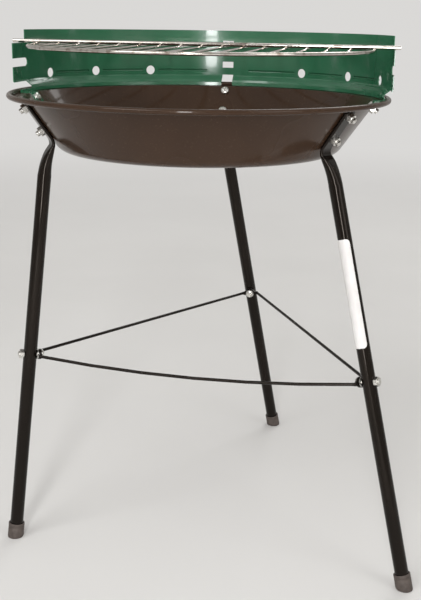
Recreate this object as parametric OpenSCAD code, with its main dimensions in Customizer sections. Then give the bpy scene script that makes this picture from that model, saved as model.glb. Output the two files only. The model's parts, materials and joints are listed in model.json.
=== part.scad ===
// Portable round barbecue grill on three tube legs, in millimetres.
// Origin: on the floor, under the middle of the whole outline. +Z is up, +Y the back.
// A sheet-steel bowl carries a windshield round its back half. A wire grid slides
// into the windshield from the front, at one of three heights. Rods brace the legs.

/* [Bowl] */
// Radius of the rolled rim, to the middle of its bead
rim_r = 177.5; // [150:0.5:200]
// Height of the rim bead's middle above the floor
rim_z = 427.5; // [380:0.5:480]
// Thickness of the rolled bead
bead_d = 5; // [4:0.5:6]
// Depth of the bowl below the bead's middle
bowl_depth = 51; // [48:1:60]
// Lean of the bowl's wall from upright, in degrees
wall_lean = 35; // [33:1:37]
// Radius of the round corner between wall and floor
corner_r = 15; // [12:1:18]
// Thickness of the bowl's sheet
bowl_t = 1; // [0.8:0.1:1.2]
// Width of the flat step between the bead's middle and the wall
step_w = 12; // [11.5:0.5:14]

/* [Windshield] */
// Height of the windshield's top edge above the bead's middle
shield_h = 57.5; // [54:0.5:66]
// Thickness of the windshield's sheet
shield_t = 0.9; // [0.8:0.1:1.2]
// Distance of the windshield's outer face outside the middle of the bead
shield_over = 3.9; // [3:0.1:4.5]
// Gap between the bead and the foot of the windshield inside it
foot_gap = 0.7; // [0.4:0.1:1]
// Height above the bead's middle at which the upright sheet starts
neck_top = 9.2; // [8.6:0.1:9.4]
// Half of the angle that the full-height panel spans
panel_half = 83; // [80:1:85]
// Half of the angle that the ears span
ear_half = 93; // [91:1:95]
// Height of the upper ears' top edge above the bead's middle
level_top = 45; // [44:0.1:46]
// Height step between two grid levels
level_step = 22.5; // [22:0.1:23]
// Height of one ear
ear_h = 14.4; // [13:0.2:15]
// Diameter of the round vent holes
vent_d = 9.4; // [7:0.2:10]
// Height of the vent holes' middle above the bead's middle
vent_z = 14.3; // [14.2:0.1:16]
// Width of the slots for the grid's back loop
slot_w = 12; // [11.5:0.5:14]
// Height of those slots
slot_h = 6.4; // [6:0.2:7]

/* [Cooking grid] */
// Distance of the grid's ring inside the middle of the bead
grid_inset = 15.5; // [14.5:0.5:25]
// Wire of the ring and the back loop
ring_wire = 3.2; // [3:0.1:4]
// Wire of the cross bar
bar_wire = 3.6; // [3:0.1:4]
// Wire of the cooking rods
rod_wire = 2.6; // [2.4:0.1:3]
// Number of rods on each side of the middle one
rods_side = 7; // [5:1:7]
// Length of the cross bar outside the middle of the bead, on each side
bar_past = 8.5; // [7:0.5:12]
// Distance of the grid's middle behind the bowl's middle
grid_back = 8; // [5:1:8]

/* [Legs] */
// Outer diameter of the leg tube
tube_d = 12.7; // [12:0.1:14]
// Wall of the leg tube
tube_t = 1.2; // [1:0.1:1.5]
// Distance of a foot outside the middle of the bead, before the stand leans
foot_out = 49.5; // [25:0.5:60]
// Lean of the thin legs: how far the feet have moved to the right of their even places
lean_right = 38; // [0:1:40]
// The same towards the back
lean_back = 3; // [-5:1:10]
// Turn of the feet about the upright, clockwise seen from above, in degrees
feet_turn = 4.5; // [0:0.5:6]
// Width of the flattened upper end
flat_w = 18; // [16:1:20]
// Thickness of the flattened upper end
flat_t = 3; // [2.8:0.1:3.2]
// Height of a foot cap
cap_h = 16; // [12:1:20]
// Wall of a foot cap
cap_t = 1.4; // [1.2:0.1:1.8]

/* [Brace] */
// Height of the brace bolts above the floor
brace_z = 187.5; // [160:0.5:220]
// Diameter of a brace rod
brace_d = 3; // [2.5:0.5:4]
// Thickness of a flattened rod end
eye_t = 1.4; // [1.2:0.1:1.6]
// Radius of a flattened rod end
eye_r = 5; // [4.5:0.1:5.5]

/* [Fasteners] */
// Thread diameter of every screw
screw_d = 5; // [4.8:0.1:5]
// Clearance of a screw in its hole, all round
screw_gap = 0.2; // [0.15:0.05:0.3]
// Diameter of a pan head
head_d = 9; // [8.5:0.1:9.5]
// Height of a pan head
head_h = 2.8; // [2.4:0.1:3.2]
// Width of a hex nut across its flats
nut_af = 8; // [7.6:0.1:8.4]
// Height of a hex nut
nut_h = 3.6; // [3.2:0.1:4]

/* [Label] */
// Height of the label's lower edge above the floor
label_z = 218; // [205:1:240]
// Length of the label along the tube
label_len = 98; // [60:1:100]
// Angle that the label wraps round the tube
label_wrap = 190; // [120:1:200]

/* [Hidden] */
$fn = 96;
eps = 0.01;
// Seats that touch without sharing space
seat = 0.05;
// Sink of one welded wire into the next
weld = 0.05;

// Places round the bowl: the back leg stands at +Y
LEG_ANGLES = [90, 210, 331.5];
LEFT = 1;
RIGHT = 2;

// Bowl wall: a cone that starts at the inner corner of the rim's step
step_r = rim_r - step_w;
step_z = rim_z - bead_d / 2;
wall_tan = tan(wall_lean);
floor_z = rim_z - bowl_depth;
wall_len = (step_z - floor_z) / cos(wall_lean);
wall_out_r = step_r - (step_z - floor_z) * wall_tan;

// Point on the wall's outer face, s down the slope, off out from the face
function on_wall(s, off) = [
    step_r - s * sin(wall_lean) + off * cos(wall_lean),
    step_z - s * cos(wall_lean) - off * sin(wall_lean)
];

// Radius where a sheet d above the wall's outer face turns from the step into the wall
function step_corner(d) = step_r - d * tan(45 - wall_lean / 2);

// Leg: screws down the slope, then the bend, then the straight tube
upper_s = 5.4;
screw_pitch = 25;
bend_s = 41.5;
// The tube is pressed flat on its inner side, so its axis stands off the wall by its radius
bend = on_wall(bend_s, seat + tube_d / 2);
foot_r = rim_r + foot_out;
taper_len = 24;

// Small differences between the three bent legs, added to each foot's place: back, left, right
FOOT_EXTRA = [[3, 6.5], [4.5, -6], [-7.5, -0.5]];

// Place of leg i's foot on the floor, from the bowl's axis
function foot_at(i) = let (a = 90 + 120 * i - feet_turn)
    [lean_right, lean_back] + foot_r * [cos(a), sin(a)] + FOOT_EXTRA[i];

// The same foot seen along the leg's own direction: outward from the bend, and sideways
function foot_out_of(i) = foot_at(i) * [cos(LEG_ANGLES[i]), sin(LEG_ANGLES[i])] - bend[0];
function foot_side_of(i) = foot_at(i) * [-sin(LEG_ANGLES[i]), cos(LEG_ANGLES[i])];

// Length of leg i below its bend, its splay from upright and its sideways lean
function leg_len(i) = norm([foot_out_of(i), foot_side_of(i), bend[1]]);
function leg_tilt(i) = asin(foot_out_of(i) / leg_len(i));
function leg_lean(i) = atan2(foot_side_of(i), bend[1]);

// Reach of foot cap i beyond its middle on the floor, when the leg runs off by run
function cap_reach(run) = (tube_d / 2 + cap_t) * sqrt(1 + run * run / (bend[1] * bend[1]));

// Bowl's axis from the origin, which is the middle of the outline
bar_half = rim_r + bar_past;
right_bend = bend[0] * cos(LEG_ANGLES[RIGHT]);
left_bend = bend[0] * cos(LEG_ANGLES[LEFT]);
right_edge = foot_at(RIGHT)[0] + cap_reach(foot_at(RIGHT)[0] - right_bend);
left_edge = max(bar_half, cap_reach(foot_at(LEFT)[0] - left_bend) - foot_at(LEFT)[0]);
back_edge = foot_at(0)[1] + cap_reach(foot_at(0)[1] - bend[0]);
front_edge = -rim_r - bead_d / 2;
axis_x = (left_edge - right_edge) / 2;
axis_y = -(back_edge + front_edge) / 2;

// Brace: where the bolt of leg i crosses the tube's axis
function bolt_u(i) = (bend[1] - brace_z) / (cos(leg_tilt(i)) * cos(leg_lean(i)));
washer_t = 1;
inner_face = -tube_d / 2 - washer_t;
eye_reach = 8.5;
// Downward bow of each rod: front, right and left; the last two are straight
brace_bow = [8, 0, 0];

// Windshield: outer face of its upright sheet, and of the foot inside the bead
shield_r = rim_r + shield_over;
shield_r0 = rim_r - bead_d / 2 - foot_gap;
shield_low = -1.4;
foot_top = 0.4 * bead_d;
reach = 2 * bead_d + shield_over;
VENT_ANGLES = [27.6, 48.3, 68.6];
// Ribs between the vents, with their ends this far from a vent's middle
rib_r = 2.3;
rib_gap = 2.4;
rib_start = 7;
lug_half = 3.2;
lug_angle = ear_half - lug_half - 0.3;

// Grid heights, built up from the ears' top edge
grid_r = rim_r - grid_inset;
rod_pitch = grid_r / (rods_side + 1.1);
bar_z = rim_z + level_top + 0.3 + bar_wire / 2;
ring_z = bar_z - bar_wire / 2 - ring_wire / 2 + weld;
rods_z = ring_z + ring_wire / 2 - rod_wire / 2;
// Room under and over the back loop in its slot
slot_z = ring_z - rim_z - slot_h / 2 - 0.4;
loop_half = 3;

// Label: turn of its middle about the tube, measured from the side facing the bowl's axis
label_turn = -62;

// Helpers

// Moves a node drawn about the bowl's axis to its place in the part's frame
module placed() translate([axis_x, axis_y, 0]) children();

// Turns a shape drawn at +X to the place at angle a round the bowl
module at_angle(a) rotate([0, 0, a]) children();

// Frame on the bowl's wall at angle a: origin on the outer face, s down the slope,
// +Z out of the face, +X up the slope
module on_face(a, s) {
    p = on_wall(s, 0);
    at_angle(a) translate([p[0], 0, p[1]]) rotate([0, 90 + wall_lean, 0]) rotate([0, 0, 180]) children();
}

// Frame of leg i's tube: origin at the bend, +Z down along the tube, +X inward
module on_tube(i) {
    at_angle(LEG_ANGLES[i]) translate([bend[0], 0, bend[1]])
        rotate([leg_lean(i), 0, 0]) rotate([0, 180 - leg_tilt(i), 0]) children();
}

// Frame at leg i's brace bolt: origin on the tube's axis, +Z outward along the bolt
module on_bolt(i) {
    on_tube(i) translate([0, 0, bolt_u(i)]) rotate([0, -90, 0]) children();
}

// Pan-head screw along +Z: the head's underside is at z = 0 and the head below it
module pan_screw(len) {
    cylinder(d = screw_d, h = len - 0.5);
    translate([0, 0, len - 0.5]) cylinder(d1 = screw_d, d2 = screw_d - 1, h = 0.5, $fn = 48);
    difference() {
        rotate([180, 0, 0]) rotate_extrude() polygon([
            [0, 0], [head_d / 2, 0], [head_d / 2, head_h * 0.35],
            [head_d * 0.44, head_h * 0.7], [head_d * 0.3, head_h * 0.93], [0, head_h]
        ]);
        for (turn = [0, 90]) rotate([0, 0, turn])
            translate([-head_d * 0.3, -0.5, -head_h - 1]) cube([head_d * 0.6, 1, 2.4]);
    }
}

// Hex nut along +Z with chamfered corners, seated at z = 0
module hex_nut() {
    difference() {
        intersection() {
            cylinder(d = nut_af / cos(30), h = nut_h, $fn = 6);
            rotate_extrude() polygon([
                [0, 0], [nut_af * 0.52, 0], [nut_af * 0.6, 0.5],
                [nut_af * 0.6, nut_h - 0.5], [nut_af * 0.52, nut_h], [0, nut_h]
            ]);
        }
        translate([0, 0, -1]) cylinder(d = screw_d + 0.1, h = nut_h + 2);
    }
}

// Bowl

// Cross-section of the bowl's sheet, from the bowl's axis to the bead
module bowl_section() {
    a_end = 90 - wall_lean;
    // Middle of the corner's arc
    t = corner_r * tan(a_end / 2);
    cx = wall_out_r - t;
    cz = floor_z + corner_r;
    outer = [for (i = [0:12]) let (a = -90 + a_end * i / 12)
        [cx + corner_r * cos(a), cz + corner_r * sin(a)]];
    inner = [for (i = [12:-1:0]) let (a = -90 + a_end * i / 12)
        [cx + (corner_r - bowl_t) * cos(a), cz + (corner_r - bowl_t) * sin(a)]];
    polygon(concat(
        [[0, floor_z]], outer,
        [[step_r, step_z], [rim_r, step_z], [rim_r, step_z + bowl_t],
         [step_corner(bowl_t), step_z + bowl_t]],
        inner, [[0, floor_z + bowl_t]]
    ));
    translate([rim_r, rim_z]) circle(d = bead_d, $fn = 48);
}

module bowl() {
    color([0.22, 0.17, 0.14]) placed() difference() {
        rotate_extrude($fn = 180) bowl_section();
        for (a = LEG_ANGLES, s = [upper_s, upper_s + screw_pitch]) wall_hole(a, s);
        for (side = [-1, 1]) wall_hole(90 + side * lug_angle, upper_s);
    }
}

module wall_hole(a, s) {
    on_face(a, s) translate([0, 0, -6]) cylinder(d = screw_d + 2 * screw_gap, h = 12);
}

// Windshield

// Upright sheet on a narrower foot, over an angle of 2 * half about the back
module shield_sheet(half) {
    t = shield_t;
    d = bead_d / 5;
    translate([0, 0, rim_z]) rotate([0, 0, 90 - half])
        rotate_extrude(angle = 2 * half, $fn = 180) polygon([
            [shield_r0, shield_low], [shield_r0, foot_top], [shield_r0 + d, foot_top + 1.9 * d],
            [shield_r - d, neck_top - 1.5 * d], [shield_r, neck_top], [shield_r, shield_h],
            [shield_r - t, shield_h], [shield_r - t, neck_top + 0.35 * t],
            [shield_r - d - 0.85 * t, neck_top - 1.5 * d + 0.6 * t],
            [shield_r0 + d - 0.75 * t, foot_top + 1.9 * d + 0.7 * t],
            [shield_r0 - t, foot_top + 0.25 * t], [shield_r0 - t, shield_low]
        ]);
}

// Turns a section round the bowl along rib k on one side, with cut degrees less at each end
module rib(side, k, cut) {
    a0 = (k == 0 ? rib_start : VENT_ANGLES[k - 1] + rib_gap) + cut;
    a1 = VENT_ANGLES[k] - rib_gap - cut;
    start = side > 0 ? 90 + a0 : 90 - a1;
    translate([0, 0, rim_z + vent_z]) rotate([0, 0, start])
        rotate_extrude(angle = a1 - a0, $fn = 180) children();
}

// Section of an embossed ridge on the outside of the sheet
module ridge() {
    mid = shield_r - shield_t / 2;
    polygon([for (t = [-90:20:90]) [mid + rib_r * cos(t), rib_r * sin(t)]]);
}

// Section of the groove on the inside of the same ridge
module groove() {
    translate([shield_r - shield_t / 2 - 0.2, 0]) rotate([0, 0, 16]) circle(r = rib_r - shield_t, $fn = 32);
}

// Lug that steps off the rim and goes down the bowl's inner face to its screw
module lug(mid) {
    under = bowl_t + seat;
    over = under + shield_t;
    rotate([0, 0, mid - lug_half]) rotate_extrude(angle = 2 * lug_half, $fn = 180) polygon([
        [shield_r0 - 0.4, step_z + under], [shield_r0 - 0.4, step_z + over],
        [step_corner(over), step_z + over], on_wall(15, -over),
        on_wall(15, -under), [step_corner(under), step_z + under]
    ]);
}

// Cut between heights z0 and z1 that leaves the ears standing past the panel's ends,
// with a round inner end if it is a notch
module comb_cut(z0, z1, is_notch) {
    for (side = [-1, 1]) {
        rotate([0, 0, 90 + side * panel_half + (side < 0 ? -14 : 0)])
            rotate_extrude(angle = 14, $fn = 180)
                translate([shield_r0 - reach, rim_z + z0]) square([2 * reach, z1 - z0]);
        if (is_notch) rotate([0, 0, side * panel_half])
            translate([0, shield_r0 - reach, rim_z + (z0 + z1) / 2])
                rotate([-90, 0, 0]) cylinder(d = z1 - z0, h = 2 * reach, $fn = 48);
    }
}

module back_slot(z0, z1) {
    translate([-slot_w / 2, shield_r0 - reach, rim_z + z0]) cube([slot_w, 2 * reach, z1 - z0]);
}

module windshield() {
    color([0.20, 0.38, 0.28]) placed() difference() {
        union() {
            shield_sheet(ear_half);
            hem();
            for (side = [-1, 1]) {
                for (k = [0:2]) rib(side, k, 0) ridge();
                lug(90 + side * lug_angle);
            }
        }
        comb_cut(level_top, shield_h + 1, false);
        comb_cut(level_top - level_step, level_top - ear_h, true);
        comb_cut(foot_top - 0.4, level_top - level_step - ear_h, false);
        for (side = [-1, 1]) {
            for (k = [0:2]) rib(side, k, 0.4) groove();
            for (a = VENT_ANGLES)
                rotate([0, 0, side * a]) translate([0, shield_r0 - reach, rim_z + vent_z])
                    rotate([-90, 0, 0]) rotate([0, 0, 40]) cylinder(d = vent_d, h = 2 * reach);
            wall_hole(90 + side * lug_angle, upper_s);
        }
        back_slot(slot_z, slot_z + slot_h);
        back_slot(slot_z - level_step, slot_z - level_step + slot_h);
        back_slot(shield_low - 1, 10);
    }
}

// Hem folded inward along the lower edge
module hem() {
    rotate([0, 0, 90 - ear_half + 0.5]) rotate_extrude(angle = 2 * ear_half - 1, $fn = 180)
        polygon([
            [shield_r0 - 2, rim_z + shield_low + 0.3], [shield_r0 - 0.6, rim_z + shield_low + 0.1],
            [shield_r0 - 0.3, rim_z + foot_top + 0.2], [shield_r0 - 1.6, rim_z + foot_top]
        ]);
}

module windshield_screws() {
    color([0.80, 0.80, 0.78]) placed() for (side = [-1, 1])
        on_face(90 + side * lug_angle, upper_s)
            translate([0, 0, -bowl_t - 2 * seat - shield_t]) pan_screw(9);
}

module windshield_nuts() {
    color([0.76, 0.76, 0.74]) placed() for (side = [-1, 1])
        on_face(90 + side * lug_angle, upper_s) translate([0, 0, seat]) hex_nut();
}

// Cooking grid

module grid_ring() {
    color([0.86, 0.84, 0.80]) placed() translate([0, grid_back, ring_z])
        rotate_extrude($fn = 180) translate([grid_r, 0]) circle(d = ring_wire, $fn = 32);
}

module grid_rods() {
    color([0.88, 0.86, 0.82]) placed() for (i = [-rods_side:rods_side]) {
        x = i * rod_pitch;
        half = sqrt(grid_r * grid_r - x * x) - ring_wire / 4;
        translate([x, grid_back - half, rods_z]) rotate([-90, 0, 0])
            cylinder(d = rod_wire, h = 2 * half, $fn = 32);
    }
}

module grid_cross_bar() {
    color([0.86, 0.84, 0.80]) placed() translate([-bar_half, grid_back, bar_z]) rotate([0, 90, 0])
        cylinder(d = bar_wire, h = 2 * bar_half, $fn = 48);
}

// Hairpin on the ring's back, whose round end goes through a slot
module grid_back_loop() {
    y0 = grid_back + grid_r - ring_wire / 4;
    y1 = shield_r + 6;
    color([0.86, 0.84, 0.80]) placed() translate([0, 0, ring_z]) {
        for (side = [-1, 1]) translate([side * loop_half, y0, 0]) rotate([-90, 0, 0])
            cylinder(d = ring_wire, h = y1 - y0, $fn = 32);
        translate([0, y1, 0]) rotate_extrude(angle = 180, $fn = 64)
            translate([loop_half, 0]) circle(d = ring_wire, $fn = 32);
    }
}

// Legs

module leg(i) {
    a = LEG_ANGLES[i];
    color([0.14, 0.12, 0.11]) placed() difference() {
        union() {
            // Straight tube below the bend
            on_tube(i) translate([0, 0, taper_len]) difference() {
                cylinder(d = tube_d, h = leg_len(i) - taper_len - cap_t - 1.8);
                translate([0, 0, -eps]) cylinder(d = tube_d - 2 * tube_t, h = leg_len(i));
            }
            // Tube pressed from round to flat
            hull() {
                on_tube(i) translate([0, 0, taper_len + 0.5]) cylinder(d = tube_d + 0.16, h = 0.7, $fn = 32);
                on_face(a, bend_s) translate([0, -flat_w / 2 + 0.6, seat + 0.1])
                    cube([2, flat_w - 1.2, flat_t - 0.2]);
            }
            // Flat end on the bowl's wall
            on_face(a, bend_s) translate([0.5, 0, seat]) flat_end();
        }
        for (s = [upper_s, upper_s + screw_pitch])
            on_face(a, s) translate([0, 0, -2]) cylinder(d = screw_d + 2 * screw_gap, h = 8);
        on_bolt(i) translate([0, 0, -tube_d]) cylinder(d = screw_d + 2 * screw_gap, h = 2 * tube_d);
    }
}

// Flattened end, from the bend up to a round tip past the upper screw
module flat_end() {
    len = bend_s - upper_s - 0.5;
    tip = 7;
    linear_extrude(flat_t) {
        translate([0, -flat_w / 2]) square([len - 2, flat_w]);
        for (side = [-1, 1]) translate([len - 2 + tip - 4, side * (flat_w / 2 - 4)])
            circle(r = 4, $fn = 48);
        translate([len - 3, -flat_w / 2]) square([tip - 3, flat_w]);
        translate([len - 3, -flat_w / 2 + 4]) square([tip + 1, flat_w - 8]);
    }
}

module leg_back() leg(0);
module leg_left() leg(LEFT);
module leg_right() leg(RIGHT);

// Cap pushed on the tube's end and cut level where it stands on the floor
module foot_cap(i) {
    color([0.36, 0.32, 0.30]) placed() difference() {
        on_tube(i) translate([0, 0, leg_len(i) - cap_h + 1]) difference() {
            cylinder(d = tube_d + 2 * cap_t, h = cap_h + 3);
            translate([0, 0, -eps]) cylinder(d = tube_d + 2 * seat, h = cap_h - cap_t - 2.6);
        }
        translate([-2 * foot_r, -2 * foot_r, -3 * cap_h]) cube([4 * foot_r, 4 * foot_r, 3 * cap_h]);
    }
}

module foot_cap_back() foot_cap(0);
module foot_cap_left() foot_cap(LEFT);
module foot_cap_right() foot_cap(RIGHT);

module leg_screws() {
    color([0.80, 0.80, 0.78]) placed() for (a = LEG_ANGLES, s = [upper_s, upper_s + screw_pitch])
        on_face(a, s) translate([0, 0, -bowl_t - 0.15]) pan_screw(11);
}

module leg_nuts() {
    color([0.76, 0.76, 0.74]) placed() for (a = LEG_ANGLES, s = [upper_s, upper_s + screw_pitch])
        on_face(a, s) translate([0, 0, flat_t + 2 * seat]) hex_nut();
}

// Braces

// Point in the bowl's frame from the bolt frame of leg i:
// out along the bolt, side along the rim's direction of rising angle
function bolt_point(i, out, side) = let (
    a = LEG_ANGLES[i], t = leg_tilt(i), n = leg_lean(i),
    x = bend[0] + bolt_u(i) * sin(t) + out * cos(t),
    drop = bolt_u(i) * cos(t) - out * sin(t),
    y = drop * sin(n) + side * cos(n),
    z = bend[1] - drop * cos(n) + side * sin(n)
) [x * cos(a) - y * sin(a), x * sin(a) + y * cos(a), z];

// Flattened rod end against the tube, with its hole and a neck towards one side
module brace_eye(i, stack, side) {
    on_bolt(i) translate([0, 0, inner_face - (stack + 1) * eye_t - stack * seat - seat])
        difference() {
            union() {
                cylinder(r = eye_r, h = eye_t);
                linear_extrude(eye_t) polygon([
                    [-eye_r + 0.4, 0], [-1.2, side * (eye_reach + 0.4)],
                    [1.2, side * (eye_reach + 0.4)], [eye_r - 0.4, 0]
                ]);
            }
            translate([0, 0, -1]) cylinder(d = screw_d + 2 * screw_gap, h = eye_t + 2);
        }
}

// Straight rod between two points
module straight_rod(p, q) {
    d = q - p;
    run = norm([d[0], d[1]]);
    translate(p) rotate([0, atan2(run, d[2]), atan2(d[1], d[0])]) cylinder(d = brace_d, h = norm(d), $fn = 32);
}

// Rod between two points, bowed down by bow, as short straight lengths with a ball in each joint
module bowed_rod(p, q, bow) {
    n = 6;
    at = [for (i = [0:n]) let (t = i / n) p + (q - p) * t - [0, 0, 4 * bow * t * (1 - t)]];
    for (i = [1:n]) straight_rod(at[i - 1], at[i]);
    for (i = [1:n - 1]) {
        d = at[i + 1] - at[i - 1];
        translate(at[i]) rotate([0, atan2(norm([d[0], d[1]]), d[2]), atan2(d[1], d[0])])
            rotate([0, 0, 40]) sphere(d = brace_d + 0.14, $fn = 32);
    }
}

// Knuckle where a rod turns into its flattened end
module knuckle(p) {
    translate(p) rotate([0, 0, atan2(p[1], p[0])]) sphere(d = brace_d + 0.5, $fn = 32);
}

module brace(k, bow) {
    n = (k + 1) % 3;
    mid_of = function (stack) inner_face - (stack + 0.5) * eye_t - (stack + 1) * seat;
    p = bolt_point(k, mid_of(0), eye_reach);
    q = bolt_point(n, mid_of(1), -eye_reach);
    color([0.12, 0.10, 0.10]) placed() {
        brace_eye(k, 0, 1);
        brace_eye(n, 1, -1);
        knuckle(p);
        knuckle(q);
        if (bow > 0) bowed_rod(p, q, bow);
        else straight_rod(p, q);
    }
}

module brace_front() brace(LEFT, brace_bow[0]);
module brace_right() brace(RIGHT, brace_bow[1]);
module brace_left() brace(0, brace_bow[2]);

module brace_bolts() {
    stack_end = inner_face - 2 * eye_t - 3 * seat;
    color([0.80, 0.80, 0.78]) placed() for (i = [0:2])
        on_bolt(i) translate([0, 0, stack_end]) pan_screw(-stack_end + tube_d / 2 + nut_h + 1.5);
}

module brace_washers() {
    color([0.78, 0.78, 0.76]) placed() for (i = [0:2]) on_bolt(i)
        translate([0, 0, inner_face]) difference() {
            cylinder(d = head_d + 0.5, h = washer_t - seat);
            translate([0, 0, -1]) cylinder(d = screw_d + 2 * screw_gap, h = washer_t + 2);
        }
}

module brace_nuts() {
    color([0.76, 0.76, 0.74]) placed() for (i = [0:2])
        on_bolt(i) translate([0, 0, tube_d / 2 + seat]) hex_nut();
}

// Blank label wrapped part of the way round the right leg
module leg_label() {
    start = (bend[1] - label_z) / cos(leg_tilt(RIGHT)) - label_len;
    color([0.90, 0.89, 0.86]) placed() on_tube(RIGHT) translate([0, 0, start])
        rotate([0, 0, label_turn - label_wrap / 2]) rotate_extrude(angle = label_wrap)
            translate([tube_d / 2 + 0.02, 0]) square([0.18, label_len]);
}

bowl();
windshield();
windshield_screws();
windshield_nuts();
grid_ring();
grid_rods();
grid_cross_bar();
grid_back_loop();
leg_back();
leg_left();
leg_right();
foot_cap_back();
foot_cap_left();
foot_cap_right();
leg_screws();
leg_nuts();
brace_front();
brace_right();
brace_left();
brace_bolts();
brace_washers();
brace_nuts();
leg_label();
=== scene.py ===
import json
import math

import bmesh
import bpy
from mathutils import Matrix, Vector


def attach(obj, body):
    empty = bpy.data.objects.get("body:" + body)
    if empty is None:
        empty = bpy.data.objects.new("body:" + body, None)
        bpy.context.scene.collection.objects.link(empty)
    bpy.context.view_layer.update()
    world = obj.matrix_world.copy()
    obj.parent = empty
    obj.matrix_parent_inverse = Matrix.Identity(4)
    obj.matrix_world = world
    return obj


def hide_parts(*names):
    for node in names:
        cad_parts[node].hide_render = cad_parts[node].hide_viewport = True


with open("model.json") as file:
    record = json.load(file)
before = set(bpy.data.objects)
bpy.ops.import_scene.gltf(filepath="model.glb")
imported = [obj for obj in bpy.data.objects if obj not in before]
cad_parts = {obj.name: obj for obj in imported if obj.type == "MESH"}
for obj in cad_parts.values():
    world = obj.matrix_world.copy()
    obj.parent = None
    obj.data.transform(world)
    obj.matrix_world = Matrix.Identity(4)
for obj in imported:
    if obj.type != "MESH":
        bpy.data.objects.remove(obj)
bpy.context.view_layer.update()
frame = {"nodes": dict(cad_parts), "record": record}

NODES = frame["nodes"]

# Sizes in metres and turns in degrees, as in the part's source.
# Radii start at the bowl's upright axis, and turns round it count from +X, so +Y is at 90.

# Bowl, measured to the middle of its rim's bead. The wall leans this much from upright.
RIM_R = 0.1775
RIM_Z = 0.4275
BEAD_D = 0.005
STEP_W = 0.012
WALL = math.radians(35)

# Windshield: its outer face, its sheet, and its vents and ribs as turns from the back
SHIELD_OVER = 0.0039
SHIELD_T = 0.0009
VENT_Z = 0.0143
VENT_ANGLES = (27.6, 48.3, 68.6)
RIB_R = 0.0023
RIB_GAP = 2.4
RIB_START = 7

# Cooking grid
GRID_INSET = 0.0155
GRID_BACK = 0.008
RING_WIRE = 0.0032
BAR_WIRE = 0.0036
ROD_WIRE = 0.0026
RODS_SIDE = 7
LEVEL_TOP = 0.045
BAR_GAP = 0.0003
BAR_PAST = 0.0085
LOOP_HALF = 0.003
WELD = 0.00005

# Legs. Their pressed ends are 2 mm narrower than in the solids, which is nearer the photo.
LEGS = ("leg_back", "leg_left", "leg_right")
BACK, LEFT, RIGHT = range(3)
LEG_ANGLES = (90, 210, 331.5)
TUBE_R = 0.00635
FLAT_W = 0.016
FLAT_T = 0.003
SEAT = 0.00005
BEND_S = 0.0415

# Feet: even places outside the rim, then the stand's lean and turn, and each foot's own offset
CAP_T = 0.0014
FOOT_OUT = 0.0495
LEAN = Vector((0.038, 0.003, 0))
FEET_TURN = 4.5
FOOT_EXTRA = (
    Vector((0.003, 0.0065, 0)),
    Vector((0.0045, -0.006, 0)),
    Vector((-0.0075, -0.0005, 0)),
)

# Label on the right leg: its turn about the tube counts from the side that faces inward
LABEL_LEN = 0.098
LABEL_Z = 0.218
LABEL_WRAP = 190
LABEL_TURN = -62

# Sizes that follow from these
STEP_R = RIM_R - STEP_W
STEP_Z = RIM_Z - BEAD_D / 2
SHIELD_R = RIM_R + SHIELD_OVER
GRID_R = RIM_R - GRID_INSET
ROD_PITCH = GRID_R / (RODS_SIDE + 1.1)
BAR_Z = RIM_Z + LEVEL_TOP + BAR_GAP + BAR_WIRE / 2
RING_Z = BAR_Z - BAR_WIRE / 2 - RING_WIRE / 2 + WELD
RODS_Z = RING_Z + RING_WIRE / 2 - ROD_WIRE / 2
CAP_R = TUBE_R + CAP_T
FOOT_R = RIM_R + FOOT_OUT


def on_wall(s, off):
    """Point (r, z) on the bowl's wall: s down the slope, off out from its outer face."""
    return (STEP_R - s * math.sin(WALL) + off * math.cos(WALL),
            STEP_Z - s * math.cos(WALL) - off * math.sin(WALL))


BEND = on_wall(BEND_S, SEAT + TUBE_R)


def foot_at(i):
    """Middle of foot i on the floor, from the bowl's axis."""
    a = math.radians(90 + 120 * i - FEET_TURN)
    return Vector((FOOT_R * math.cos(a), FOOT_R * math.sin(a), 0)) + LEAN + FOOT_EXTRA[i]


def cap_reach(run):
    """Reach of a foot cap beyond its middle on the floor, where its leg runs off by run."""
    return CAP_R * math.hypot(1, run / BEND[1])


def bowl_axis():
    """The bowl's axis, from the origin under the middle of the whole outline."""
    back, left, right = foot_at(BACK).y, foot_at(LEFT).x, foot_at(RIGHT).x
    left_bend = BEND[0] * math.cos(math.radians(LEG_ANGLES[LEFT]))
    right_bend = BEND[0] * math.cos(math.radians(LEG_ANGLES[RIGHT]))
    left_edge = max(RIM_R + BAR_PAST, cap_reach(left - left_bend) - left)
    right_edge = right + cap_reach(right - right_bend)
    back_edge = back + cap_reach(back - BEND[0])
    front_edge = -RIM_R - BEAD_D / 2
    return Vector((left_edge - right_edge, -back_edge - front_edge, 0)) / 2


AXIS = bowl_axis()


def polar(r, z, angle):
    """Point at radius r and height z, at an angle round the bowl."""
    a = math.radians(angle)
    return Vector((r * math.cos(a), r * math.sin(a), z)) + AXIS


def leg_frame(i):
    """Leg i's tube: its bend, its directions down, inward and sideways, and its length."""
    bend = polar(*BEND, LEG_ANGLES[i])
    turn = Matrix.Rotation(math.radians(LEG_ANGLES[i]), 3, "Z")
    run = turn.transposed() @ (foot_at(i) + AXIS - bend)
    tilt = math.asin(run.x / run.length)
    lean = Matrix.Rotation(math.atan2(run.y, BEND[1]), 3, "X")
    down = turn @ lean @ Vector((math.sin(tilt), 0, -math.cos(tilt)))
    inward = turn @ lean @ Vector((-math.cos(tilt), 0, -math.sin(tilt)))
    return bend, down, inward, down.cross(inward), run.length


# Node helpers

def material(name):
    """A new material, its node tree and its shader node."""
    m = bpy.data.materials.new(name)
    m.use_nodes = True
    return m, m.node_tree, m.node_tree.nodes["Principled BSDF"]


def set_inputs(node, values):
    """Gives the node's sockets these fixed values."""
    for key, value in values.items():
        node.inputs[key].default_value = value


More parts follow.
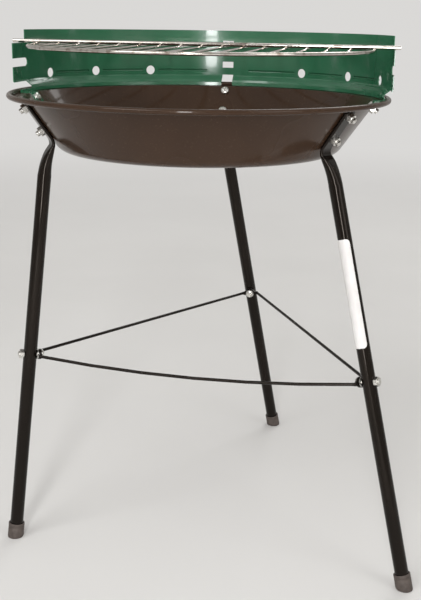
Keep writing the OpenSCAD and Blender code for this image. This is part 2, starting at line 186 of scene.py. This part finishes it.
def put(tree, kind, **settings):
    """A new node of this kind, with these settings."""
    node = tree.nodes.new(kind)
    for key, value in settings.items():
        setattr(node, key, value)
    return node


def noise(tree, scale, detail=3.0, rough=0.5, stretch=None):
    """Noise in the object's own coordinates, with about this many spots to the metre."""
    at = put(tree, "ShaderNodeTexCoord").outputs["Object"]
    if stretch:
        mapping = put(tree, "ShaderNodeMapping")
        set_inputs(mapping, {"Scale": stretch})
        tree.links.new(at, mapping.inputs["Vector"])
        at = mapping.outputs["Vector"]
    n = put(tree, "ShaderNodeTexNoise")
    set_inputs(n, {"Scale": scale, "Detail": detail, "Roughness": rough})
    tree.links.new(at, n.inputs["Vector"])
    return n.outputs["Fac"]


def ramp(tree, factor, stops):
    """Colour that eases from one stop to the next, each stop a place and a colour."""
    r = put(tree, "ShaderNodeValToRGB")
    r.color_ramp.interpolation = "EASE"
    elements = r.color_ramp.elements
    for element, (place, colour) in zip(elements, (stops[0], stops[-1])):
        element.position = place
        element.color = (*colour, 1)
    for place, colour in stops[1:-1]:
        elements.new(place).color = (*colour, 1)
    tree.links.new(factor, r.inputs["Fac"])
    return r.outputs["Color"]


def spread(tree, factor, low, high):
    """The middle half of a noise's range, spread smoothly from low to high."""
    r = put(tree, "ShaderNodeMapRange", interpolation_type="SMOOTHSTEP")
    set_inputs(r, {"From Min": 0.25, "From Max": 0.75, "To Min": low, "To Max": high})
    tree.links.new(factor, r.inputs["Value"])
    return r.outputs["Result"]


def blend(tree, share, a, b):
    """Colour a with this share of colour b."""
    m = put(tree, "ShaderNodeMix", data_type="RGBA")
    set_inputs(m, {"Factor": share})
    tree.links.new(a, m.inputs["A"])
    tree.links.new(b, m.inputs["B"])
    return m.outputs["Result"]


def bump(tree, shader, height, strength, distance):
    """Small relief on the shader."""
    b = put(tree, "ShaderNodeBump")
    set_inputs(b, {"Strength": strength, "Distance": distance})
    tree.links.new(height, b.inputs["Height"])
    tree.links.new(b.outputs["Normal"], shader.inputs["Normal"])


# Materials

def bowl_paint():
    """Satin heat-proof paint, black-brown, with a fine orange peel and faint dust."""
    m, t, s = material("bowl_paint")
    base = ramp(t, noise(t, 9.0, 4), [(0.32, (0.039, 0.021, 0.0125)), (0.68, (0.053, 0.029, 0.0170))])
    dust = ramp(t, noise(t, 520.0, 2), [(0.60, (0.038, 0.021, 0.013)), (0.76, (0.100, 0.066, 0.047))])
    t.links.new(blend(t, 0.35, base, dust), s.inputs["Base Color"])
    t.links.new(spread(t, noise(t, 12.0, 2), 0.22, 0.30), s.inputs["Roughness"])
    set_inputs(s, {"Specular IOR Level": 0.10, "Specular Tint": (1.0, 0.84, 0.72, 1)})
    set_inputs(s, {"Coat Weight": 0.30, "Coat Roughness": 0.07})
    bump(t, s, noise(t, 900.0, 2), 0.07, 0.0003)
    return m


def green_paint():
    """Gloss dark-green paint with a slight orange peel."""
    m, t, s = material("windshield_paint")
    base = ramp(t, noise(t, 14.0, 3), [(0.3, (0.025, 0.126, 0.062)), (0.7, (0.034, 0.150, 0.076))])
    t.links.new(base, s.inputs["Base Color"])
    t.links.new(spread(t, noise(t, 40.0, 3), 0.13, 0.21), s.inputs["Roughness"])
    set_inputs(s, {"Coat Weight": 0.6, "Coat Roughness": 0.06})
    bump(t, s, noise(t, 260.0, 2), 0.10, 0.0004)
    return m


def black_paint(name, low, high):
    """Black paint with patches drawn out upward, its roughness from low to high."""
    m, t, s = material(name)
    cloud = noise(t, 25.0, 4, stretch=(1, 1, 0.2))
    base = ramp(t, cloud, [(0.3, (0.0048, 0.0038, 0.0032)), (0.75, (0.0095, 0.0072, 0.0058))])
    t.links.new(base, s.inputs["Base Color"])
    t.links.new(spread(t, noise(t, 60.0, 5, stretch=(1, 1, 0.3)), low, high), s.inputs["Roughness"])
    set_inputs(s, {"Specular IOR Level": 0.21, "Specular Tint": (1.0, 0.88, 0.78, 1)})
    bump(t, s, noise(t, 350.0, 2), 0.04, 0.0003)
    return m


def chrome():
    """Bright chrome plate, a little uneven, with dull spots and with painted reflection: warm dark
    patches in its colour stand for coppery reflections.
    """
    m, t, s = material("chrome_wire")
    # Painted reflection: the warm dark stops stand for coppery reflections of warm surroundings.
    stops = [(0.28, (0.30, 0.235, 0.19)), (0.5, (0.61, 0.57, 0.52)), (0.8, (0.74, 0.72, 0.69))]
    t.links.new(ramp(t, noise(t, 140.0, 4), stops), s.inputs["Base Color"])
    t.links.new(spread(t, noise(t, 90.0, 4), 0.06, 0.17), s.inputs["Roughness"])
    set_inputs(s, {"Metallic": 1.0})
    bump(t, s, noise(t, 300.0, 2), 0.12, 0.0003)
    return m


def zinc():
    """Bright zinc plate with a fine uneven grain."""
    m, t, s = material("zinc")
    base = ramp(t, noise(t, 420.0, 3), [(0.3, (0.60, 0.58, 0.54)), (0.7, (0.83, 0.82, 0.79))])
    t.links.new(base, s.inputs["Base Color"])
    t.links.new(spread(t, noise(t, 700.0, 3), 0.22, 0.36), s.inputs["Roughness"])
    set_inputs(s, {"Metallic": 1.0})
    bump(t, s, noise(t, 1500.0, 2), 0.15, 0.0002)
    return m


def cap_plastic():
    """Dull dark-grey plastic with a fine grain and small pale scuffs."""
    m, t, s = material("foot_plastic")
    stops = [(0.35, (0.058, 0.045, 0.038)), (0.6, (0.084, 0.066, 0.057)), (0.8, (0.145, 0.121, 0.108))]
    t.links.new(ramp(t, noise(t, 160.0, 5, 0.7), stops), s.inputs["Base Color"])
    t.links.new(spread(t, noise(t, 200.0, 4), 0.55, 0.78), s.inputs["Roughness"])
    bump(t, s, noise(t, 1800.0, 3), 0.3, 0.0003)
    return m


def label_paper():
    """Blank white coated paper, slightly creased."""
    m, t, s = material("label_paper")
    base = ramp(t, noise(t, 60.0, 4), [(0.3, (0.69, 0.67, 0.66)), (0.7, (0.77, 0.755, 0.745))])
    t.links.new(base, s.inputs["Base Color"])
    t.links.new(spread(t, noise(t, 300.0, 3), 0.42, 0.56), s.inputs["Roughness"])
    bump(t, s, noise(t, 120.0, 4), 0.12, 0.0005)
    return m


MATERIALS = {
    "bowl_paint": bowl_paint(),
    "windshield_paint": green_paint(),
    "leg_paint": black_paint("leg_paint", 0.05, 0.11),
    "brace_paint": black_paint("brace_paint", 0.22, 0.38),
    "chrome_wire": chrome(),
    "zinc": zinc(),
    "foot_plastic": cap_plastic(),
    "label_paper": label_paper(),
}
SLOTS = {entry["node"]: entry["material_slot"] for entry in frame["record"]["subparts"]}
for name, obj in NODES.items():
    obj.data.materials.clear()
    obj.data.materials.append(MATERIALS[SLOTS[name]])


# Mesh helpers

MERGE = 1e-6


def shown(name, verts, faces):
    """A new smooth object in the scene, and a bmesh of it whose equal points are merged."""
    mesh = bpy.data.meshes.new(name)
    mesh.from_pydata([tuple(v) for v in verts], [], faces)
    obj = bpy.data.objects.new(name, mesh)
    bpy.context.scene.collection.objects.link(obj)
    bm = bmesh.new()
    bm.from_mesh(mesh)
    bmesh.ops.remove_doubles(bm, verts=bm.verts, dist=MERGE)
    for f in bm.faces:
        f.smooth = True
    return obj, bm


def piece(name, verts, faces, slot, body, angle):
    """A piece of the grill, shaded smooth but for edges sharper than the angle."""
    obj, bm = shown(name, verts, faces)
    bmesh.ops.recalc_face_normals(bm, faces=bm.faces)
    for e in bm.edges:
        if len(e.link_faces) == 2 and e.calc_face_angle() > math.radians(angle):
            e.smooth = False
    bm.to_mesh(obj.data)
    bm.free()
    obj.data.materials.append(MATERIALS[slot])
    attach(obj, body)
    return obj


def skin(rings):
    """Vertices and faces of a skin over rings of the same number of points, with open ends."""
    n = len(rings[0])
    faces = []
    for i in range(len(rings) - 1):
        for j in range(n):
            k = (j + 1) % n
            faces.append((i * n + j, i * n + k, (i + 1) * n + k, (i + 1) * n + j))
    return [p for ring in rings for p in ring], faces


def loft(rings):
    """The same skin with closed ends."""
    verts, faces = skin(rings)
    n = len(rings[0])
    faces.append(tuple(reversed(range(n))))
    faces.append(tuple(range(len(verts) - n, len(verts))))
    return verts, faces


def joined(parts):
    """One mesh of several, each given as its vertices and faces."""
    verts, faces = [], []
    for v, f in parts:
        first = len(verts)
        verts += v
        faces += [tuple(i + first for i in face) for face in f]
    return verts, faces


# Legs: a round tube pressed flat at the top and bent onto the bowl's wall

# The press starts this far below the bend and grows with this power of the way to it
PRESS_START = 0.030
PRESS_POWER = 2.2
# Greatest hollow pressed into the faces, as a share of the tube's thickness
HOLLOW = 0.10
# Radii of the bend and of the corners of the tip
KNEE_R = 0.004
TIP_R = 0.004
# Gaps of the tube's two ends: over the floor inside the cap, and under the bowl's step
FOOT_GAP = 0.004
TIP_GAP = 0.0004
# Stations on the straight stretches: the last round one, and those up the wall
ROUND_END = 0.040
WALL_STOPS = (0.012, 0.020, 0.028)
# Points round the tube, and the power that moves them out to the edges of a pressed one
TUBE_SIDES = 40
CROWD = 0.45


def tube_section(press):
    """Half thickness and half width of the tube, with press from 0 for round to 1 for flat."""
    b = TUBE_R + (FLAT_T / 2 - TUBE_R) * press
    same_girth = b + 2 * math.pi * (TUBE_R - b) / 4
    return b, min(same_girth, FLAT_W / 2)


def tube_outline(b, half, hollow):
    """Points (across, through) of the tube: a circle, or a slot with a hollow in its middle."""
    points = []
    for i in range(TUBE_SIDES):
        a = 2 * math.pi * i / TUBE_SIDES
        x, y = b * math.cos(a), b * math.sin(a)
        if half > b:
            x = math.copysign(half * abs(math.cos(a)) ** CROWD, math.cos(a))
            edge = max(abs(x) - (half - b), 0) / b
            y = math.copysign(b * math.sqrt(max(0, 1 - edge * edge)), math.sin(a))
            y *= 1 - hollow * (1 - (x / half) ** 2)
        points.append((x, y))
    return points


def meeting(line, down, plate, radial):
    """How far down the tube's middle line and up the wall the two meet, seen from the side."""
    gap = plate - line
    ax, az = down.dot(radial), down.z
    dx, dz = gap.dot(radial), gap.z
    det = az * math.sin(WALL) - ax * math.cos(WALL)
    return (dz * math.sin(WALL) - dx * math.cos(WALL)) / det, (ax * dz - az * dx) / det


def tube_stations(i, press_end):
    """Stations from the foot to the bend. The press keeps the tube's inner side in line."""
    bend, down, inward, side, length = leg_frame(i)
    stations = []
    for u in (length - FOOT_GAP, length * 0.75, length * 0.5, length * 0.25, ROUND_END, PRESS_START):
        stations.append((bend + down * u, down, side, 0.0, 0.0, 1.0))
    for j in range(1, 15):
        f = j / 14
        press = f ** PRESS_POWER
        u = PRESS_START + (press_end - PRESS_START) * f
        middle = bend + down * u + inward * (TUBE_R - tube_section(press)[0])
        stations.append((middle, down, side, press, HOLLOW * math.sin(math.pi * f), 1.0))
    return stations


def knee_stations(low, corner, high, side, across):
    """Stations round the bend, from the tube's line to the wall's."""
    stations = []
    for j in range(1, 8):
        f = j / 8
        middle = low * (1 - f) ** 2 + corner * 2 * f * (1 - f) + high * f * f
        up = (corner - low) * (1 - f) + (high - corner) * f
        stations.append((middle, -up.normalized(), side * (1 - f) + across * f, 1.0, 0.0, 1.0))
    return stations


def wall_stations(plate, up_wall, across, first):
    """Stations up the wall, from the distance first to the tip and its round corners."""
    tip = BEND_S - TIP_GAP - TIP_R
    stations = []
    for v in (first, *WALL_STOPS, tip):
        stations.append((plate + up_wall * v, -up_wall, across, 1.0, 0.0, 1.0))
    for j in range(1, 8):
        a = math.pi / 2 * j / 7
        width = 1 - (1 - math.cos(a)) * TIP_R / (FLAT_W / 2)
        middle = plate + up_wall * (tip + TIP_R * math.sin(a))
        stations.append((middle, -up_wall, across, 1.0, 0.0, width))
    return stations


def leg_stations(i):
    """Stations up leg i: middle, directions down and across, press, hollow, share of width."""
    bend, down, inward, side, _ = leg_frame(i)
    turn = Matrix.Rotation(math.radians(LEG_ANGLES[i]), 3, "Z")
    radial, across = turn @ Vector((1, 0, 0)), turn @ Vector((0, 1, 0))
    up_wall = turn @ Vector((math.sin(WALL), 0, math.cos(WALL)))
    plate = polar(*on_wall(BEND_S, SEAT + FLAT_T / 2), LEG_ANGLES[i])
    line = bend + inward * (TUBE_R - FLAT_T / 2)
    u, s = meeting(line, down, plate, radial)
    low, corner = line + down * (u + KNEE_R), line + down * u
    high = plate + up_wall * (s + KNEE_R)
    return (tube_stations(i, u + KNEE_R)
            + knee_stations(low, corner, high, side, across)
            + wall_stations(plate, up_wall, across, s + KNEE_R))


def leg_rings(i):
    """Rings of leg i, from inside the foot cap up to its rounded tip."""
    rings = []
    for middle, down, across, press, hollow, width in leg_stations(i):
        b, half = tube_section(press)
        through = down.cross(across).normalized()
        across = through.cross(down).normalized()
        outline = tube_outline(b, half * width, hollow)
        rings.append([middle + across * x + through * y for x, y in outline])
    return rings


for i, name in enumerate(LEGS):
    verts, faces = loft(leg_rings(i))
    leg = piece("painted_" + name, verts, faces, "leg_paint", "stand", angle=50)
    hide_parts(name)


# Foot caps: pushed on the tube, with a rounded lip, a groove and a rounded lower edge

CAP_H = 0.015
CAP_SIDES = 48
GROOVE = 0.00025
# From inside the lip down past the groove: distance below the lip's top, and radius
CAP_LIP = (
    (0.0006, TUBE_R + 0.00004),
    (0.0001, TUBE_R + 0.0004),
    (0, TUBE_R + 0.0008),
    (0.0002, CAP_R - 0.0002),
    (0.0007, CAP_R),
    (0.0035, CAP_R),
    (0.0038, CAP_R - GROOVE),
    (0.0044, CAP_R - GROOVE),
    (0.0047, CAP_R),
)
# From the side round the lower edge to near the middle: height above the floor, and radius
CAP_EDGE = (
    (0.0014, CAP_R),
    (0.0004, CAP_R - 0.00025),
    (0, CAP_R - 0.0009),
    (0, 0.0032),
)


def cap_rings(i):
    """Rings of leg i's cap: square to the tube at the top, level with the floor at the bottom."""
    bend, down, inward, side, length = leg_frame(i)
    spokes = []
    for j in range(CAP_SIDES):
        a = 2 * math.pi * j / CAP_SIDES
        spokes.append(inward * math.cos(a) + side * math.sin(a))
    rings = []
    for u, r in CAP_LIP:
        rings.append([bend + down * (length - CAP_H + u) + spoke * r for spoke in spokes])
    for z, r in CAP_EDGE:
        starts = [bend + spoke * r for spoke in spokes]
        rings.append([p + down * ((z - p.z) / down.z) for p in starts])
    return rings


for i, name in enumerate(LEGS):
    node = name.replace("leg", "foot_cap")
    verts, faces = loft(cap_rings(i))
    cap = piece("moulded_" + node, verts, faces, "foot_plastic", "stand", angle=45)
    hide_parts(node)


# Blank label: a paper strip with rounded corners, wrapped on the right leg's tube

LABEL_CORNER = 0.0035
PAPER_IN = TUBE_R + 0.00002
PAPER_OUT = TUBE_R + 0.0002
LABEL_COLS = 41


def label_rows():
    """Distances along the label of its mesh's rows, which crowd at the round corners."""
    corner = [LABEL_CORNER * (1 - math.cos(math.pi / 2 * i / 8)) for i in range(9)]
    middle = [LABEL_LEN * i / 12 for i in range(1, 12)]
    return corner + middle + [LABEL_LEN - v for v in reversed(corner)]


def label_half(v):
    """Half of the label's wrap, in radians, at the distance v along it."""
    into_corner = max(LABEL_CORNER - min(v, LABEL_LEN - v), 0)
    cut = LABEL_CORNER - math.sqrt(max(0, LABEL_CORNER ** 2 - into_corner ** 2))
    return math.radians(LABEL_WRAP / 2) - cut / TUBE_R


def label_side(radius):
    """Points of one side of the paper, row by row, at this radius from the tube's middle line."""
    bend, down, inward, side, _ = leg_frame(RIGHT)
    splay = math.asin(down.dot(polar(1, 0, LEG_ANGLES[RIGHT]) - AXIS))
    first = (BEND[1] - LABEL_Z) / math.cos(splay) - LABEL_LEN
    verts = []
    for v in label_rows():
        for j in range(LABEL_COLS):
            a = math.radians(LABEL_TURN) + label_half(v) * (2 * j / (LABEL_COLS - 1) - 1)
            out = inward * math.cos(a) + side * math.sin(a)
            verts.append(bend + down * (first + v) + out * radius)
    return verts


def label_mesh():
    """Both sides of the paper and its four edges."""
    outer, inner = label_side(PAPER_OUT), label_side(PAPER_IN)
    rows, cols, m = len(label_rows()), LABEL_COLS, len(outer)
    faces = []
    for i in range(rows - 1):
        for a in range(i * cols, (i + 1) * cols - 1):
            b = a + cols
            faces.append((a, a + 1, b + 1, b))
            faces.append((m + a, m + b, m + b + 1, m + a + 1))
        for a in (i * cols, (i + 1) * cols - 1):
            faces.append((a, a + cols, m + a + cols, m + a))
    for i in (0, rows - 1):
        for a in range(i * cols, (i + 1) * cols - 1):
            faces.append((a, a + 1, m + a + 1, m + a))
    return outer + inner, faces


verts, faces = label_mesh()
label = piece("paper_label", verts, faces, "label_paper", "stand", angle=50)
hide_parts("leg_label")


# Weld nuggets where the grid's wires cross

# Half lengths of the nuggets: at a rod's ends, under the bar, at its ends and at the loop's
ROD_NUGGET = (0.0018, 0.0018, 0.0012)
BAR_NUGGET = (0.0016, 0.0019, 0.0010)
END_NUGGET = (0.0020, 0.0020, 0.0011)
LOOP_NUGGET = (0.0018, 0.0018, 0.0015)
# How far nuggets sit below the wires, inside the ring's middle line and outside it
NUGGET_SINK = 0.0002
NUGGET_IN = 0.0011
NUGGET_OUT = 0.001


def nugget(x, y, z, size, seed):
    """A small uneven blob of weld metal, with x and y from the middle of the ring."""
    middle = Vector((AXIS.x + x, AXIS.y + GRID_BACK + y, z))
    bm = bmesh.new()
    bmesh.ops.create_icosphere(bm, subdivisions=2, radius=1.0)
    verts = []
    for v in bm.verts:
        swell = 0.10 * math.sin(seed * 1.7 + v.co.x * 4.1)
        swell += 0.08 * math.cos(seed * 2.3 + v.co.y * 5.3 + v.co.z)
        verts.append(v.co * Vector(size) * (1 + swell) + middle)
    faces = [tuple(v.index for v in f.verts) for f in bm.faces]
    bm.free()
    return verts, faces


def grid_welds():
    """Nuggets at both ends and the middle of every rod, at the bar's ends and at the loop's."""
    welds = []
    under_bar = BAR_Z - BAR_WIRE / 2
    for i in range(2 * RODS_SIDE + 1):
        x = (i - RODS_SIDE) * ROD_PITCH
        end = math.sqrt(GRID_R ** 2 - x * x) - NUGGET_IN
        welds.append(nugget(x, -end, RODS_Z - NUGGET_SINK, ROD_NUGGET, 3 * i + 1))
        welds.append(nugget(x, end, RODS_Z - NUGGET_SINK, ROD_NUGGET, 3 * i + 2))
        welds.append(nugget(x, 0, under_bar - NUGGET_SINK, BAR_NUGGET, 3 * i + 3))
    for side in (-1, 1):
        welds.append(nugget(side * GRID_R, 0, under_bar, END_NUGGET, side))
        welds.append(nugget(side * LOOP_HALF, GRID_R + NUGGET_OUT, RING_Z, LOOP_NUGGET, side + 5))
    return joined(welds)


verts, faces = grid_welds()
piece("grid_weld_nuggets", verts, faces, "chrome_wire", "cooking_grid", angle=80)


# Rounded ends of the windshield's pressed ribs

END_SIDES = 16
END_TURNS = 8
END_TIP = 0.00002


def rib_end(side, angle, way):
    """Quarter ball on a rib's end at an angle from the back; way 1 points away from the back."""
    mid = SHIELD_R - SHIELD_T / 2
    verts = []
    for i in range(END_TURNS + 1):
        f = math.pi / 2 * i / END_TURNS
        r = max(RIB_R * math.cos(f), END_TIP)
        turn = angle + math.degrees(way * RIB_R * math.sin(f) / mid)
        for j in range(END_SIDES + 1):
            t = -math.pi / 2 + math.pi * j / END_SIDES
            z = RIM_Z + VENT_Z + r * math.sin(t)
            verts.append(polar(mid + r * math.cos(t), z, 90 + side * turn))
    n = END_SIDES + 1
    faces = [(i * n + j, i * n + j + 1, (i + 1) * n + j + 1, (i + 1) * n + j)
             for i in range(END_TURNS) for j in range(END_SIDES)]
    return verts, faces


def rib_ends():
    """Both ends of every rib. Each rib stops short of a vent, and all but the first start after one."""
    starts = (RIB_START, *(vent + RIB_GAP for vent in VENT_ANGLES[:-1]))
    ends = []
    for side in (-1, 1):
        for start, vent in zip(starts, VENT_ANGLES):
            ends.append(rib_end(side, start, -1))
            ends.append(rib_end(side, vent - RIB_GAP, 1))
    return joined(ends)


verts, faces = rib_ends()
piece("windshield_rib_ends", verts, faces, "windshield_paint", "stand", angle=60)


# Stage: a round floor that sweeps up into a far wall, the same from every side

FLOOR_R = 3.4
FLOOR_RINGS = (0, 1.2, 2.6, FLOOR_R)
SWEEP_R = 1.2
STAGE_TOP = 3.2
STAGE_SIDES = 96
STAGE_TONE = (0.70, 0.69, 0.675)
STAGE_PALE = (0.73, 0.72, 0.705)
# Between these distances from the origin the stage turns into one even tone for the camera
FADE_START = 0.8
FADE_END = 3.2


def stage_fade(tree):
    """For the camera 0 near the grill, rising to 1 far out; 0 everywhere for other rays."""
    distance = put(tree, "ShaderNodeVectorMath", operation="LENGTH")
    tree.links.new(put(tree, "ShaderNodeTexCoord").outputs["Object"], distance.inputs[0])
    far = put(tree, "ShaderNodeMapRange", interpolation_type="SMOOTHSTEP")
    set_inputs(far, {"From Min": FADE_START, "From Max": FADE_END})
    tree.links.new(distance.outputs["Value"], far.inputs["Value"])
    both = put(tree, "ShaderNodeMath", operation="MULTIPLY")
    tree.links.new(far.outputs["Result"], both.inputs[0])
    tree.links.new(put(tree, "ShaderNodeLightPath").outputs["Is Camera Ray"], both.inputs[1])
    return both.outputs["Value"]


def stage_material():
    """Matt pale floor whose far part the camera sees as one even pale tone."""
    m, t, s = material("stage_floor")
    base = ramp(t, noise(t, 2.0, 3), [(0.3, STAGE_TONE), (0.7, STAGE_PALE)])
    t.links.new(base, s.inputs["Base Color"])
    set_inputs(s, {"Roughness": 0.9, "Specular IOR Level": 0.2})
    glow = put(t, "ShaderNodeEmission")
    set_inputs(glow, {"Color": (*STAGE_TONE, 1)})
    mixed = put(t, "ShaderNodeMixShader")
    t.links.new(stage_fade(t), mixed.inputs["Fac"])
    t.links.new(s.outputs["BSDF"], mixed.inputs[1])
    t.links.new(glow.outputs["Emission"], mixed.inputs[2])
    t.links.new(mixed.outputs["Shader"], t.nodes["Material Output"].inputs["Surface"])
    return m


def stage():
    """The floor, the sweep and the wall in one mesh."""
    profile = [(r, 0) for r in FLOOR_RINGS]
    for i in range(1, 13):
        a = math.pi / 2 * i / 12
        profile.append((FLOOR_R + SWEEP_R * math.sin(a), SWEEP_R - SWEEP_R * math.cos(a)))
    profile.append((FLOOR_R + SWEEP_R, STAGE_TOP))
    turns = [2 * math.pi * i / STAGE_SIDES for i in range(STAGE_SIDES)]
    rings = [[(r * math.cos(a), r * math.sin(a), z) for a in turns] for r, z in profile]
    obj, bm = shown("stage_floor", *skin(rings))
    bm.to_mesh(obj.data)
    bm.free()
    obj.data.materials.append(stage_material())


stage()


# Light: an even room, three soft boxes, and a tall narrow one in front for the bright streaks

ROOM_TONE = (1.0, 0.99, 0.97, 1)
ROOM_LIGHT = 0.55
BODY_AIM = (0, 0, 0.3)
BOWL_AIM = (0, 0, 0.4)

world = bpy.data.worlds.new("studio")
bpy.context.scene.world = world
world.use_nodes = True
set_inputs(world.node_tree.nodes["Background"], {"Color": ROOM_TONE, "Strength": ROOM_LIGHT})


def softbox(name, at, aim, width, height, power):
    """Rectangular light at a place, turned to its aim, with its power in watts."""
    data = bpy.data.lights.new(name, "AREA")
    data.shape = "RECTANGLE"
    data.size = width
    data.size_y = height
    data.energy = power
    obj = bpy.data.objects.new(name, data)
    bpy.context.scene.collection.objects.link(obj)
    obj.location = at
    obj.rotation_euler = (Vector(aim) - Vector(at)).to_track_quat("-Z", "Y").to_euler()


softbox("key", (-1.1, -1.6, 2.0), BODY_AIM, width=1.2, height=1.2, power=19)
softbox("fill", (1.7, -1.2, 1.3), BODY_AIM, width=1.0, height=1.4, power=9)
softbox("back", (0.4, 1.8, 1.9), BODY_AIM, width=1.4, height=0.8, power=14)
softbox("strip", (0.07, -2.3, 0.95), BOWL_AIM, width=0.30, height=1.75, power=32)


# Camera, from the fit to the photograph. Its focal length is 2.5 % shorter than the fit's,
# which keeps the left foot inside the picture.

PHOTO_HEIGHT = 600
SENSOR_HEIGHT = 24


def set_camera(turn, distance, height, pitch, yaw, roll, focal):
    """Camera round the bowl's axis, yawed off it, with its focal length in the photo's pixels."""
    turn, pitch, roll = math.radians(turn), math.radians(pitch), math.radians(roll)
    ahead = turn + math.pi - math.radians(yaw)
    at = Vector((distance * math.cos(turn), distance * math.sin(turn), height)) + AXIS
    level = Vector((math.sin(ahead), -math.cos(ahead), 0))
    forward = Vector((math.cos(ahead), math.sin(ahead), 0)) * math.cos(pitch)
    forward.z = math.sin(pitch)
    upright = level.cross(forward)
    right = level * math.cos(roll) + upright * math.sin(roll)
    up = upright * math.cos(roll) - level * math.sin(roll)
    data = bpy.data.cameras.new("camera")
    data.sensor_fit = "VERTICAL"
    data.sensor_height = SENSOR_HEIGHT
    data.lens = focal * SENSOR_HEIGHT / PHOTO_HEIGHT
    data.clip_end = 30
    obj = bpy.data.objects.new("camera", data)
    bpy.context.scene.collection.objects.link(obj)
    placed = Matrix((right, up, -forward)).transposed().to_4x4()
    placed.translation = at
    obj.matrix_world = placed
    bpy.context.scene.camera = obj


set_camera(turn=-79.9005, distance=0.975838, height=0.499951,
           pitch=-15.6913, yaw=0.80, roll=0.87009, focal=1009.6)

bpy.context.scene.view_settings.view_transform = "Standard"
